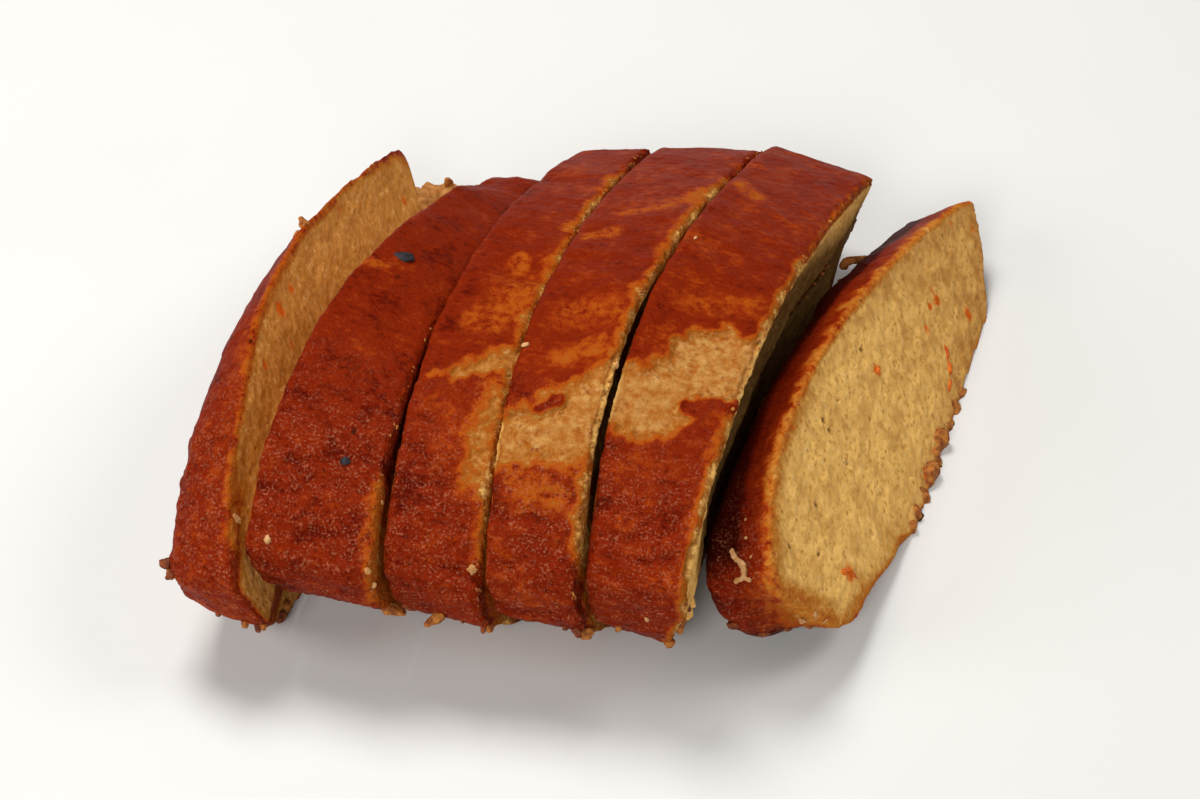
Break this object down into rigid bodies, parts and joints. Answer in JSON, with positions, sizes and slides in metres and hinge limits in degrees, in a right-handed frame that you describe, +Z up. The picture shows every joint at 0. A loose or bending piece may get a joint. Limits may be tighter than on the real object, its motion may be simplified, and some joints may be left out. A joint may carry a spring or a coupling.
{
  "type": "sliced carrot bread",
  "caption": "Low domed carrot bread cut across into thick slices that stand in a leaning row, with a dark brown crust and a pale, porous crumb.",
  "frame": {"origin": "under the middle of the row, on the surface that it stands on", "axes": "+Z up, +X along the row from the heel to the slice that leans back, +Y along each slice from its near end to its far end"},
  "size_m": [0.1024, 0.1158, 0.0386],
  "materials": {
    "crust": "satin, fine grained",
    "crumb": "matte, porous"
  },
  "bodies": {
    "root": {"slice_1": "crust", "slice_2": "crust", "slice_3": "crust", "slice_4": "crust", "slice_5": "crust", "slice_6": "crumb"}
  },
  "joints": []
}
